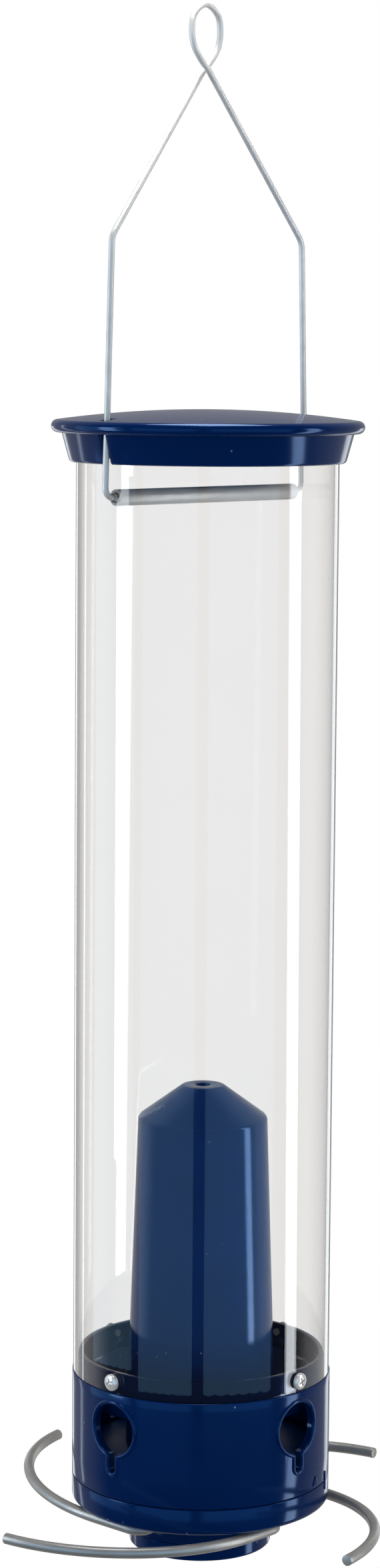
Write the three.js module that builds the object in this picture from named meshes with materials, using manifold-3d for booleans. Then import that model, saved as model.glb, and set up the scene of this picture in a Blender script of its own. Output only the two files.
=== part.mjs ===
// Hanging tube bird feeder with four spring-loaded drop perches.
// Millimetres, +Z up. Inside the feeder group, Z is the tube's axis and z = 0 is the joint line
// between the clear tube and the port ring. The group is then moved so that the exported origin
// is the point where a hook bears on the inside of the hanging loop.

import * as THREE from 'three';
import { mergeVertices } from 'three/addons/utils/BufferGeometryUtils.js';
import Module from 'manifold-3d';

const wasm = await Module();
wasm.setup();

// ---- Driving dimensions -------------------------------------------------------------------

const gap = 0.3; // between pieces that touch
const runningGap = 0.4; // between pieces that turn or slide on each other
const roundSides = 48; // facets around a large turned part
const smallSides = 16; // facets around a screw, bore or rod

// Clear tube
const tubeRadius = 60;
const tubeWall = 2;
const tubeLength = 440.2;

// Port ring: the base moulding with the four feeding ports
const ringProud = 0.5; // stands out past the tube
const ringHeight = 49.7;
const ringWall = 3.5;
const collarHeight = 9.6; // part of the ring that stands inside the tube
const collarWall = 2.5;
const portTurn = 2.5; // ports are turned this far from the bail's plane, degrees
const portCount = 4;
const portRadius = 12.1;
const portHeight = -16.9; // centre of the round opening
const slotWidth = 4.2;
const slotFoot = -37.6;

// Port hoods
const hoodHalfWidth = 20;
const hoodReach = 7.4;
const hoodDrop = 10.6;
const hoodThickness = 3.2; // measured upright
const hoodTop = -2; // where the roof meets the collar's bore

// Screws that hold the tube on the collar
const tubeScrewHeight = 5.4;
const tubeScrewHeadRadius = 3.85;
const tubeScrewHeadHeight = 2.4;
const tubeScrewShankRadius = 1.7;
const driveDepth = 1.3;
const driveWidth = 0.9;
const driveSpan = 4.2;

// Twist-off base ring and its bayonet
const baseHeight = 12.6;
const baseFloor = 2.5;
const baseEdge = 3;
const baseOpeningRadius = 23.5;
const spigotHeight = 7.6; // how far the base stands up inside the port ring
const spigotWall = 2.2;
const lugCount = 3;
const lugAngle = 14; // degrees
const lugDepth = 1.7;
const lugHeight = 2.8;
const ledgeHeight = 3.2; // ring material under the lugs
const twistAngle = 15; // degrees from locked to free

// Raised marks on the ring's outside that show how the base turns
const markProud = 0.5;
const tickTurn = 26; // degrees round from the first port
const tickWidth = 1.3;
const tickRise = 4.8; // above the joint between port ring and base ring
const tickDrop = 4;
const arrowTurn = 14;
const arrowFoot = -48;
const arrowHeight = 4.4;
const arrowHalfWidth = 2.2;

// Seed floor and tower
const floorRimThickness = 3.1;
const floorRise = 3.2;
const towerFootRadius = 35.5;
const towerShoulderRadius = 30.1;
const towerTopRadius = 10.1;
const towerShoulderHeight = 120.2;
const towerTopHeight = 135.3;
const towerWall = 2.2;
const tieRodRadius = 2;
const tieHeadRadius = 3.1;
const tieHeadHeight = 2.6;
const tieHeadRecess = 5.4;

// Perch hub under the base
const hubRadius = 33.3;
const hubWall = 2.4;
const housingHeight = 13.2;
const coverHeight = 7.6;
const coverFloor = 2.4;
const hubEdge = 1.4;
const bossRadius = 3.9;
const hubScrewRadius = 1.5;
const hubScrewHeadRadius = 2.8;
const hubScrewHeadHeight = 1.8;
const hubScrewBite = 4; // how far a hub screw stands up above the base's underside

// Perches: a bent rod each, turning on its own inner leg
const rodRadius = 2.5;
const perchEdgeRelief = 0.26; // how much closer the base's rounded edge lets a rod pass
const perchRootInset = 12.4; // from the ring's outside in to the straight part of the rod
const perchInnerEnd = 13; // from the tube's axis to the end of the leg
const perchBend = 7;
const perchStraight = 25.2;
const perchArcRadius = 80;
const perchArcAngle = 88; // degrees
const perchTurn = 7.95; // first hinge from the +X direction, degrees
const perchSet = [
  { yaw: -1.9, rise: 2.8 },
  { yaw: 2.4, rise: 4.0 },
  { yaw: 0.4, rise: 2.2 },
  { yaw: -0.8, rise: 2.2 },
]; // how each perch sits at rest, degrees
const bushWall = 1.3;
const bushFlangeLip = 0.6;
const bushFlange = 1.6;
const crankInner = 13.6;
const crankWidth = 5;
const crankWall = 1.6;
const crankReach = 10.4;
const crankThickness = 4;
const stopLength = 4;
const springWire = 0.5; // radius
const springClearance = 0.6; // around the rod
const springTurns = 4.5;
const springArm = 5;

// Cap
const capEdgeRadius = 2.9; // rolled rim
const capRimReach = 11.4; // rim's widest point past the tube
const capDomeRise = 4.8;
const capTopThickness = 2.3;
const capSkirtHeight = 16.8;
const capSkirtTopReach = 6.7;
const capSkirtFootReach = 3.3;
const capSkirtClearance = 0.6;

// Wire bail with its hanging loop, and the crossbar sleeve inside the tube
const wireRadius = 1.4;
const sleeveWall = 1.3;
const sleeveClearance = 1; // around the wire
const crossbarDrop = 31.2; // below the tube's rim
const footLength = 11; // wire inside the sleeve
const footBend = 4.5;
const legReach = 3.2; // clear space between the leg's foot and the tube's outside
const legLean = 3.5; // inward lean between foot and shoulder
const shoulderRise = 84; // bail's shoulder above the tube's rim
const shoulderBend = 10;
const crossingRise = 158.6; // where the strands cross
const loopRise = 186.5; // hook's bearing point above the rim
const loopWidth = 20.2; // between the middles of the wire
const loopOffset = 3.1; // loop from the tube's axis, in the bail's plane
const strandGap = 0.7; // between the strands where they cross
const legSlotClearance = 0.5;
const capLift = 70;

// ---- Derived levels and radii -------------------------------------------------------------

const radians = THREE.MathUtils.degToRad;

const tubeBore = tubeRadius - tubeWall;
const tubeRim = gap + tubeLength;
const ringRadius = tubeRadius + ringProud;
const ringBore = ringRadius - ringWall;
const ringFoot = -ringHeight + gap / 2;
const collarRadius = tubeBore - gap;
const collarBore = collarRadius - collarWall;

const baseTop = -ringHeight - gap / 2;
const baseBottom = -ringHeight - baseHeight;
const spigotRadius = ringBore - runningGap;
const spigotTop = -ringHeight + spigotHeight;
const lugFoot = ringFoot + ledgeHeight + gap;
const floorFoot = spigotTop + gap;
const floorRim = floorFoot + floorRimThickness;
const floorCrown = floorRim + floorRise;
const towerFoot = floorCrown + gap;

const housingTop = baseBottom - gap;
const housingFoot = housingTop - housingHeight;
const coverTop = housingFoot - gap;
const coverBottom = coverTop - coverHeight;
const bossDistance = hubRadius - hubWall - bossRadius + 0.6;
const perchRootRadius = ringRadius - perchRootInset;
const perchExit = Math.sqrt(ringRadius ** 2 - perchRootRadius ** 2); // where a rod leaves the base
const steepestRise = radians(Math.max(...perchSet.map((set) => set.rise)));
const perchAxisDrop = rodRadius + gap + perchExit * Math.sin(steepestRise) - perchEdgeRelief;
const perchAxis = baseBottom - perchAxisDrop;
const rodBore = rodRadius + gap;
const bushRadius = rodBore + bushWall;
const bushFlangeRadius = bushRadius + bushFlangeLip;
const crankRadius = rodBore + crankWall;
const springRadius = rodRadius + springClearance + springWire; // to the middle of the wire
const tieRodFoot = coverBottom + coverFloor + 1;
const tieHeadFoot = towerTopHeight - tieHeadRecess - tieHeadHeight;

const crossbarHeight = tubeRim - crossbarDrop;
const legFootY = tubeRadius + legReach + wireRadius;
const sleeveBore = wireRadius + sleeveClearance;
const sleeveRadius = sleeveBore + sleeveWall;
const strandSplit = wireRadius + strandGap / 2; // each strand from the bail's plane
const legSlotWidth = 2 * (wireRadius + legSlotClearance);
const hookHeight = tubeRim + loopRise;
const capUnderside = tubeRim + gap;

// ---- Solids -------------------------------------------------------------------------------

function toSolid(geometry) {
  const bare = new THREE.BufferGeometry();
  bare.setAttribute('position', geometry.getAttribute('position').clone());
  if (geometry.index) bare.setIndex(geometry.index.clone());
  const welded = mergeVertices(bare, 1e-4);
  const position = welded.getAttribute('position');
  const index = welded.index.array;
  const corner = [new THREE.Vector3(), new THREE.Vector3(), new THREE.Vector3()];
  const triangles = [];
  let volume = 0;
  for (let i = 0; i < index.length; i += 3) {
    const [a, b, c] = [index[i], index[i + 1], index[i + 2]];
    if (a === b || b === c || c === a) continue;
    triangles.push(a, b, c);
    corner[0].fromBufferAttribute(position, a);
    corner[1].fromBufferAttribute(position, b);
    corner[2].fromBufferAttribute(position, c);
    volume += corner[0].dot(corner[1].cross(corner[2]));
  }
  if (volume < 0) triangles.reverse();
  return new wasm.Manifold(new wasm.Mesh({
    numProp: 3,
    vertProperties: new Float32Array(position.array),
    triVerts: new Uint32Array(triangles),
  }));
}

function toGeometry(solid) {
  const mesh = solid.getMesh();
  const geometry = new THREE.BufferGeometry();
  geometry.setAttribute('position', new THREE.BufferAttribute(new Float32Array(mesh.vertProperties), 3));
  geometry.setIndex(new THREE.BufferAttribute(new Uint32Array(mesh.triVerts), 1));
  geometry.computeVertexNormals();
  return geometry;
}

function joined(first, ...others) {
  return others.reduce((sum, other) => sum.add(other), first);
}

function cutBy(first, ...others) {
  return others.reduce((rest, other) => rest.subtract(other), first);
}

// A closed outline of [radius, height] points turned about Z.
function turned(outline, sides = roundSides) {
  const points = outline.map(([radius, height]) => new THREE.Vector2(radius, height));
  points.push(points[0].clone());
  return toSolid(new THREE.LatheGeometry(points, sides).rotateX(Math.PI / 2));
}

function disc(radius, bottom, top, sides = roundSides) {
  return turned([[0, bottom], [radius, bottom], [radius, top], [0, top]], sides);
}

function block(low, high) {
  const size = new THREE.Vector3().subVectors(high, low);
  const middle = new THREE.Vector3().addVectors(low, high).multiplyScalar(0.5);
  return toSolid(new THREE.BoxGeometry(size.x, size.y, size.z).translate(middle.x, middle.y, middle.z));
}

function vec(x, y, z) {
  return new THREE.Vector3(x, y, z);
}

// A round bar along +X from x = start to x = end, at height z.
function barAlongX(radius, start, end, z = 0, sides = smallSides) {
  const bar = new THREE.CylinderGeometry(radius, radius, end - start, sides).rotateZ(-Math.PI / 2);
  return toSolid(bar.translate((start + end) / 2, 0, z));
}

function ringSector(inner, outer, bottom, top, startAngle, endAngle) {
  const shape = new THREE.Shape();
  shape.absarc(0, 0, outer, radians(startAngle), radians(endAngle), false);
  shape.absarc(0, 0, inner, radians(endAngle), radians(startAngle), true);
  shape.closePath();
  const options = { depth: top - bottom, bevelEnabled: false, curveSegments: 8 };
  return toSolid(new THREE.ExtrudeGeometry(shape, options).translate(0, 0, bottom));
}

// A wire's route: straight between stations, each station once.
class Route extends THREE.Curve {
  constructor(stations) {
    super();
    this.stations = stations;
  }

  getPoint(t, target = new THREE.Vector3()) {
    const place = t * (this.stations.length - 1);
    const first = Math.min(Math.floor(place), this.stations.length - 2);
    return target.lerpVectors(this.stations[first], this.stations[first + 1], place - first);
  }

  getUtoTmapping(u) {
    return u;
  }
}

function wireAlong(stations, radius, sides) {
  const section = new THREE.Shape();
  for (let i = 0; i < sides; i++) {
    const angle = (i / sides) * 2 * Math.PI;
    const point = [radius * Math.cos(angle), radius * Math.sin(angle)];
    if (i === 0) section.moveTo(...point);
    else section.lineTo(...point);
  }
  section.closePath();
  const options = { steps: stations.length - 1, extrudePath: new Route(stations), bevelEnabled: false };
  return toSolid(new THREE.ExtrudeGeometry(section, options));
}

// Stations on an arc that leaves `start` along `heading` and turns towards `side`.
function arcStations(start, heading, side, radius, angle, count) {
  const centre = start.clone().addScaledVector(side, radius);
  const stations = [];
  for (let i = 1; i <= count; i++) {
    const turn = (angle * i) / count;
    stations.push(centre.clone()
      .addScaledVector(side, -radius * Math.cos(turn))
      .addScaledVector(heading, radius * Math.sin(turn)));
  }
  return stations;
}

// ---- Materials ----------------------------------------------------------------------------

const navyPlastic = new THREE.MeshStandardMaterial({ color: 0x06245a, roughness: 0.22, metalness: 0 });
const innerPlastic = new THREE.MeshStandardMaterial({ color: 0x2f4f86, roughness: 0.3, metalness: 0 });
const clearPlastic = new THREE.MeshStandardMaterial({
  color: 0xdfe3e6, roughness: 0.08, metalness: 0, transparent: true, opacity: 0.3,
});
const brushedSteel = new THREE.MeshStandardMaterial({ color: 0x9a9a9c, roughness: 0.32, metalness: 1 });
const aluminium = new THREE.MeshStandardMaterial({ color: 0xb9b9bb, roughness: 0.4, metalness: 1 });
const bushPlastic = new THREE.MeshStandardMaterial({ color: 0x1c1c1e, roughness: 0.5, metalness: 0 });

function piece(name, solid, material) {
  const mesh = new THREE.Mesh(toGeometry(solid), material);
  mesh.name = name;
  return mesh;
}

// ---- Tube, bail and crossbar --------------------------------------------------------------

function clearTube() {
  const wall = turned([
    [tubeBore, gap], [tubeRadius, gap], [tubeRadius, tubeRim], [tubeBore, tubeRim],
  ]);
  const holes = [];
  for (let i = 0; i < portCount; i++) {
    const hole = barAlongX(tubeScrewShankRadius + gap, tubeBore - 2, tubeRadius + 2, tubeScrewHeight);
    holes.push(hole.rotate([0, 0, portTurn + (360 / portCount) * i]));
  }
  for (const side of [90, -90]) {
    const hole = barAlongX(wireRadius + runningGap, tubeBore - 2, tubeRadius + 2, crossbarHeight);
    holes.push(hole.rotate([0, 0, side]));
  }
  return cutBy(wall, ...holes);
}

// One half of the bail's route from inside the sleeve up to the crossing, at the -Y side for
// side = -1 and the +Y side for side = 1.
function bailLeg(side, crossing) {
  const inward = vec(0, -side, 0);
  const up = vec(0, 0, 1);
  const elbow = vec(0, side * (legFootY - footBend), crossbarHeight);
  const footEnd = vec(0, side * (tubeBore - footLength), crossbarHeight);
  const stations = [footEnd, elbow];
  stations.push(...arcStations(elbow, vec(0, side, 0), up, footBend, Math.PI / 2, 5));
  const shoulder = vec(0, side * (legFootY - legLean), tubeRim + shoulderRise);
  const strand = crossing.clone().sub(shoulder).normalize();
  const leg = shoulder.clone().sub(stations.at(-1)).normalize();
  const turn = leg.angleTo(strand);
  const trim = shoulderBend * Math.tan(turn / 2);
  const bendStart = shoulder.clone().addScaledVector(leg, -trim);
  const across = inward.clone().addScaledVector(leg, -inward.dot(leg)).normalize();
  stations.push(bendStart, ...arcStations(bendStart, leg, across, shoulderBend, turn, 4));
  return stations;
}

// The closed eye at the top: an ellipse that opens into the two strands.
function loopStations() {
  const crown = hookHeight + wireRadius;
  const waist = tubeRim + crossingRise;
  const halfWidth = loopWidth / 2;
  const eyeCentre = crown - halfWidth * 1.22;
  const guide = [
    vec(-strandSplit, -loopOffset, waist),
    vec(-strandSplit, -loopOffset + halfWidth * 0.52, waist + 4.9),
    vec(-strandSplit * 0.9, -loopOffset + halfWidth * 0.9, eyeCentre - 6.6),
    vec(-strandSplit * 0.6, -loopOffset + halfWidth, eyeCentre),
    vec(-strandSplit * 0.3, -loopOffset + halfWidth * 0.8, eyeCentre + halfWidth * 0.76),
    vec(0, -loopOffset, crown),
    vec(strandSplit * 0.3, -loopOffset - halfWidth * 0.8, eyeCentre + halfWidth * 0.76),
    vec(strandSplit * 0.6, -loopOffset - halfWidth, eyeCentre),
    vec(strandSplit * 0.9, -loopOffset - halfWidth * 0.9, eyeCentre - 6.6),
    vec(strandSplit, -loopOffset - halfWidth * 0.52, waist + 4.9),
    vec(strandSplit, -loopOffset, waist),
  ];
  return new THREE.CatmullRomCurve3(guide, false, 'centripetal').getPoints(40);
}

function hangingBail() {
  const loop = loopStations();
  const left = bailLeg(-1, loop[0]);
  const right = bailLeg(1, loop.at(-1));
  return wireAlong([...left, ...loop, ...right.reverse()], wireRadius, 10);
}

function crossbarSleeve() {
  const half = tubeBore - gap - 0.2;
  const outside = barAlongX(sleeveRadius, -half, half, 0, 24);
  const bore = barAlongX(sleeveBore, -half - 1, half + 1, 0, 24);
  return cutBy(outside, bore).rotate([0, 0, 90]).translate([0, 0, crossbarHeight]);
}

// ---- Cap ----------------------------------------------------------------------------------

function cap() {
  const rimRadius = tubeRadius + capRimReach;
  const rimCentre = rimRadius - capEdgeRadius;
  const rimHeight = capUnderside - capEdgeRadius + capTopThickness;
  const crest = rimHeight + capEdgeRadius;
  const skirtFoot = capUnderside - capSkirtHeight;
  const skirtTopRadius = tubeRadius + capSkirtTopReach;
  const skirtFootRadius = tubeRadius + capSkirtFootReach;
  const skirtBore = tubeRadius + capSkirtClearance;
  const seatInner = tubeBore - 3;
  const outline = [];
  for (const share of [0, 0.25, 0.5, 0.75]) {
    outline.push([seatInner * share, capUnderside + capDomeRise * (1 - share * share)]);
  }
  outline.push([seatInner, capUnderside], [skirtTopRadius - 2.6, capUnderside]);
  outline.push([skirtBore, skirtFoot + 4], [skirtBore, skirtFoot], [skirtFootRadius - 1.2, skirtFoot]);
  outline.push([skirtFootRadius, skirtFoot + 1], [skirtTopRadius, rimHeight - capEdgeRadius + 0.3]);
  for (let i = 0; i <= 6; i++) {
    const angle = radians(-90 + 30 * i);
    outline.push([
      rimCentre + capEdgeRadius * Math.cos(angle),
      rimHeight + capEdgeRadius * Math.sin(angle),
    ]);
  }
  for (const share of [0.75, 0.5, 0.25, 0]) {
    outline.push([rimCentre * share, crest + capDomeRise * (1 - share * share)]);
  }
  const slots = [-1, 1].map((side) => block(
    vec(-legSlotWidth / 2, Math.min(side * (tubeRadius - 0.9), side * (legFootY + 2.2)), skirtFoot - 1),
    vec(legSlotWidth / 2, Math.max(side * (tubeRadius - 0.9), side * (legFootY + 2.2)), crest + 5),
  ));
  return cutBy(turned(outline), ...slots);
}

// ---- Port ring and what is fixed to it ----------------------------------------------------

function portCutter() {
  const round = barAlongX(portRadius, collarBore - 8, ringRadius + 4, portHeight, 28);
  const slotRadius = slotWidth / 2;
  const slotEnd = barAlongX(slotRadius, collarBore - 8, ringRadius + 4, slotFoot + slotRadius, 12);
  const slot = block(
    vec(collarBore - 8, -slotRadius, slotFoot + slotRadius),
    vec(ringRadius + 4, slotRadius, portHeight),
  );
  return joined(round, slotEnd, slot);
}

// One half of the tick, above or below the joint.
function tick(bottom, top) {
  const edge = tickWidth / 2;
  const bar = block(vec(ringRadius - 1, -edge, bottom), vec(ringRadius + markProud, edge, top));
  return bar.rotate([0, 0, tickTurn]);
}

function arrow() {
  const shape = new THREE.Shape();
  shape.moveTo(-arrowHalfWidth, arrowFoot);
  shape.lineTo(arrowHalfWidth, arrowFoot);
  shape.lineTo(0, arrowFoot + arrowHeight);
  shape.closePath();
  const plate = new THREE.ExtrudeGeometry(shape, { depth: 1 + markProud, bevelEnabled: false });
  plate.rotateX(Math.PI / 2).rotateZ(Math.PI / 2).translate(ringRadius - 1, 0, 0);
  return toSolid(plate).rotate([0, 0, arrowTurn]);
}

function portRing() {
  const wall = turned([
    [ringBore, ringFoot], [ringRadius, ringFoot], [ringRadius, -0.6], [ringRadius - 0.6, 0],
    [collarRadius, 0], [collarRadius, collarHeight - 0.5], [collarRadius - 0.5, collarHeight],
    [collarBore, collarHeight], [collarBore, -3], [ringBore, -5.5],
  ]);
  const cutters = [];
  for (let i = 0; i < portCount; i++) {
    const turn = (360 / portCount) * i;
    cutters.push(portCutter().rotate([0, 0, turn]));
    const screwHole = barAlongX(tubeScrewShankRadius + gap, collarBore - 2, tubeRadius, tubeScrewHeight);
    cutters.push(screwHole.rotate([0, 0, turn]));
  }
  const grooveRadius = ringBore - runningGap + lugDepth + gap;
  const grooveFoot = ringFoot + ledgeHeight;
  const half = lugAngle / 2 + 0.6;
  for (let i = 0; i < lugCount; i++) {
    const middle = (360 / lugCount) * i;
    cutters.push(ringSector(
      ringBore - 1, grooveRadius, grooveFoot, grooveFoot + lugHeight + 2 * gap,
      middle - twistAngle - half, middle + half,
    ));
    cutters.push(ringSector(
      ringBore - 1, grooveRadius, ringFoot - 1, grooveFoot + gap,
      middle - twistAngle - half, middle - twistAngle + half,
    ));
  }
  const marks = joined(tick(ringFoot, -ringHeight + tickRise), arrow());
  return joined(cutBy(wall, ...cutters), marks);
}

// A sloping roof behind a port that keeps the seed from pouring out.
function portHood() {
  const outer = collarBore - gap;
  const lip = outer - hoodReach;
  const root = outer + 1;
  const rootTop = hoodTop + hoodDrop / hoodReach;
  const shape = new THREE.Shape();
  shape.moveTo(root, rootTop);
  shape.lineTo(lip, hoodTop - hoodDrop);
  shape.lineTo(lip, hoodTop - hoodDrop - hoodThickness);
  shape.lineTo(root, rootTop - hoodThickness);
  shape.closePath();
  const plate = new THREE.ExtrudeGeometry(shape, { depth: 2 * hoodHalfWidth, bevelEnabled: false });
  plate.rotateX(Math.PI / 2).translate(0, hoodHalfWidth, 0);
  return toSolid(plate).intersect(disc(outer, portHeight, collarHeight));
}

function phillipsRecess(face) {
  const half = driveSpan / 2;
  const width = driveWidth / 2;
  return joined(
    block(vec(face - driveDepth, -half, -width), vec(face + 1, half, width)),
    block(vec(face - driveDepth, -width, -half), vec(face + 1, width, half)),
  );
}

function tubeScrew() {
  const seat = tubeRadius + gap;
  const face = seat + tubeScrewHeadHeight;
  const head = turned([
    [0, seat], [tubeScrewHeadRadius, seat], [tubeScrewHeadRadius, face - 1.2],
    [tubeScrewHeadRadius - 0.8, face - 0.3], [tubeScrewHeadRadius - 2, face], [0, face],
  ], 20).rotate([0, 90, 0]);
  const shank = barAlongX(tubeScrewShankRadius, collarBore - 1, seat + 0.5, 0, 12);
  return cutBy(joined(head, shank), phillipsRecess(face)).translate([0, 0, tubeScrewHeight]);
}

// ---- Base ring, seed floor and tower ------------------------------------------------------

function bossSpots() {
  const spots = [];
  for (let i = 0; i < perchSet.length; i++) {
    const angle = radians(perchTurn + 45 + 90 * i);
    spots.push([bossDistance * Math.cos(angle), bossDistance * Math.sin(angle)]);
  }
  return spots;
}

function baseRing() {
  const plateTop = baseBottom + baseFloor;
  const shell = turned([
    [baseOpeningRadius, baseBottom], [ringRadius - baseEdge, baseBottom],
    [ringRadius - baseEdge * 0.5, baseBottom + baseEdge * 0.13],
    [ringRadius - baseEdge * 0.13, baseBottom + baseEdge * 0.5],
    [ringRadius, baseBottom + baseEdge], [ringRadius, baseTop],
    [spigotRadius, baseTop], [spigotRadius, spigotTop], [spigotRadius - spigotWall, spigotTop],
    [spigotRadius - spigotWall, plateTop], [baseOpeningRadius, plateTop],
  ]);
  const lugs = [];
  for (let i = 0; i < lugCount; i++) {
    const middle = portTurn + (360 / lugCount) * i;
    const reach = spigotRadius + lugDepth;
    lugs.push(ringSector(
      spigotRadius - 1, reach, lugFoot, lugFoot + lugHeight, middle - lugAngle / 2, middle + lugAngle / 2,
    ));
  }
  const pillars = [];
  const bores = [];
  for (const [x, y] of bossSpots()) {
    const top = baseBottom + hubScrewBite + 2;
    pillars.push(disc(bossRadius, baseBottom, top, smallSides).translate([x, y, 0]));
    const bore = disc(hubScrewRadius + gap, baseBottom - 1, baseBottom + hubScrewBite + gap, smallSides);
    bores.push(bore.translate([x, y, 0]));
  }
  const mark = tick(-ringHeight - tickDrop, baseTop).rotate([0, 0, portTurn]);
  return cutBy(joined(shell, mark, ...lugs, ...pillars), ...bores);
}

function seedFloor() {
  const dish = turned([
    [tieRodRadius + gap, floorFoot], [spigotRadius, floorFoot], [spigotRadius, floorRim],
    [towerFootRadius + 1.5, floorCrown], [tieRodRadius + gap, floorCrown],
  ]);
  return dish;
}

function seedTower() {
  const boreRadius = tieRodRadius + gap;
  const recessRadius = tieHeadRadius + gap;
  const recessFoot = tieHeadFoot - gap;
  const bossOuter = recessRadius + 2.4;
  return turned([
    [boreRadius, recessFoot - 4], [bossOuter, recessFoot - 4], [bossOuter, towerTopHeight - towerWall - 1],
    [towerTopRadius - 1, towerTopHeight - towerWall - 1], [towerShoulderRadius - towerWall, towerShoulderHeight - 1.2],
    [towerFootRadius - towerWall, towerFoot], [towerFootRadius, towerFoot],
    [towerShoulderRadius, towerShoulderHeight - 2], [towerShoulderRadius - 1, towerShoulderHeight],
    [towerTopRadius + 0.6, towerTopHeight - 0.9], [towerTopRadius - 0.6, towerTopHeight],
    [recessRadius, towerTopHeight], [recessRadius, recessFoot], [boreRadius, recessFoot],
  ]);
}

function tieRod() {
  const shank = disc(tieRodRadius, tieRodFoot, tieHeadFoot + 0.5, 12);
  const head = disc(tieHeadRadius, tieHeadFoot, tieHeadFoot + tieHeadHeight, smallSides);
  const drive = phillipsRecess(0).rotate([0, -90, 0]).translate([0, 0, tieHeadFoot + tieHeadHeight]);
  return cutBy(joined(shank, head), drive);
}

// ---- Hub ----------------------------------------------------------------------------------

function hubHousing() {
  const inner = hubRadius - hubWall;
  const wall = turned([
    [inner, housingFoot], [hubRadius, housingFoot], [hubRadius, housingTop], [inner, housingTop],
  ]);
  const posts = [];
  const cutters = [];
  for (const [x, y] of bossSpots()) {
    posts.push(disc(bossRadius, housingFoot, housingTop, smallSides).translate([x, y, 0]));
    const bore = disc(hubScrewRadius + gap, housingFoot - 1, housingTop + 1, smallSides);
    cutters.push(bore.translate([x, y, 0]));
  }
  const outside = cutBy(disc(hubRadius + 20, housingFoot - 1, housingTop + 1), disc(hubRadius - 0.5,
    housingFoot - 2, housingTop + 2));
  perchSet.forEach((set, i) => {
    const reach = bushRadius + gap;
    const round = barAlongX(reach, inner - 3, hubRadius + 3, perchAxis, 20);
    const open = block(vec(inner - 3, -reach, perchAxis), vec(hubRadius + 3, reach, housingTop + 1));
    cutters.push(joined(round, open).rotate([0, 0, perchAngle(i)]));
  });
  return cutBy(joined(wall, ...posts), outside, ...cutters);
}

function hubCover() {
  const inner = hubRadius - hubWall;
  const plateTop = coverBottom + coverFloor;
  const cup = turned([
    [0, coverBottom], [hubRadius - hubEdge, coverBottom], [hubRadius - hubEdge * 0.3, coverBottom + hubEdge * 0.3],
    [hubRadius, coverBottom + hubEdge], [hubRadius, coverTop], [inner, coverTop], [inner, plateTop], [0, plateTop],
  ]);
  const posts = [disc(tieRodRadius + 3, plateTop - 0.5, coverTop, smallSides)];
  const cutters = [disc(tieRodRadius + gap, tieRodFoot - gap, coverTop + 1, smallSides)];
  for (const [x, y] of bossSpots()) {
    posts.push(disc(bossRadius, plateTop - 0.5, coverTop, smallSides).translate([x, y, 0]));
    const bore = disc(hubScrewRadius + gap, coverBottom - 1, coverTop + 1, smallSides);
    const recess = disc(hubScrewHeadRadius + gap, coverBottom - 1, coverBottom + hubScrewHeadHeight + gap,
      smallSides);
    cutters.push(joined(bore, recess).translate([x, y, 0]));
  }
  const stopTop = perchAxis - crankThickness / 2 - gap;
  perchSet.forEach((set, i) => {
    const low = vec(crankInner + 0.5, crankReach - stopLength, plateTop - 0.5);
    const high = vec(crankInner + crankWidth - 0.5, crankReach - 0.3, stopTop);
    posts.push(block(low, high).rotate([0, 0, perchAngle(i)]));
  });
  const trimmed = joined(...posts).intersect(disc(hubRadius - 0.5, coverBottom, housingTop));
  return cutBy(joined(cup, trimmed), ...cutters);
}

function hubScrew() {
  const head = disc(hubScrewHeadRadius, coverBottom + gap, coverBottom + gap + hubScrewHeadHeight - gap, smallSides);
  const shank = disc(hubScrewRadius, coverBottom + 1, baseBottom + hubScrewBite, 12);
  const drive = phillipsRecess(0).scale([1, 0.7, 0.7]).rotate([0, 90, 0]).translate([0, 0, coverBottom + gap]);
  return cutBy(joined(head, shank), drive);
}

// ---- Perches ------------------------------------------------------------------------------

function perchAngle(i) {
  return perchTurn - 90 * i + perchSet[i].yaw;
}

// In a perch's own frame +X points out from the tube's axis, along the hinge, and the rod
// runs towards -Y.
function perchRod(set) {
  const outward = vec(1, 0, 0);
  const along = vec(0, -1, 0);
  const bendStart = vec(perchRootRadius - perchBend, 0, 0);
  const stations = [vec(perchInnerEnd, 0, 0), bendStart];
  stations.push(...arcStations(bendStart, outward, along, perchBend, Math.PI / 2, 5));
  const straightEnd = vec(perchRootRadius, -perchStraight, 0);
  stations.push(straightEnd);
  stations.push(...arcStations(straightEnd, along, vec(-1, 0, 0), perchArcRadius, radians(perchArcAngle), 16));
  return wireAlong(stations, rodRadius, 10).rotate([-set.rise, 0, 0]);
}

function perchBush() {
  const inner = hubRadius - hubWall;
  const sleeve = barAlongX(bushRadius, inner - 1.5, hubRadius + 0.4, 0, 20);
  const flange = barAlongX(bushFlangeRadius, hubRadius + gap, hubRadius + gap + bushFlange, 0, 20);
  const bore = barAlongX(rodBore, inner - 3, hubRadius + 5, 0, 20);
  return cutBy(joined(sleeve, flange), bore);
}

// The crank rides on the leg and rests on the hub's stop, which holds the perch level.
function perchCrank() {
  const end = crankInner + crankWidth;
  const barrel = barAlongX(crankRadius, crankInner, end, 0, 20);
  const arm = block(
    vec(crankInner, 0, -crankThickness / 2),
    vec(end, crankReach, crankThickness / 2),
  );
  const bore = barAlongX(rodBore, crankInner - 1, end + 1, 0, 20);
  return cutBy(joined(barrel, arm), bore);
}

function perchSpring() {
  const start = crankInner + crankWidth + springWire + gap;
  const end = hubRadius - hubWall - 1.5 - springWire - gap;
  const stepsPerTurn = 9;
  const steps = Math.round(springTurns * stepsPerTurn);
  const stations = [vec(start, springArm, springRadius)];
  for (let i = 0; i <= steps; i++) {
    const angle = Math.PI / 2 + (i / stepsPerTurn) * 2 * Math.PI;
    const x = start + ((end - start) * i) / steps;
    stations.push(vec(x, springRadius * Math.cos(angle), springRadius * Math.sin(angle)));
  }
  stations.push(vec(end, springArm, -springRadius));
  return wireAlong(stations, springWire, 6);
}

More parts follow.
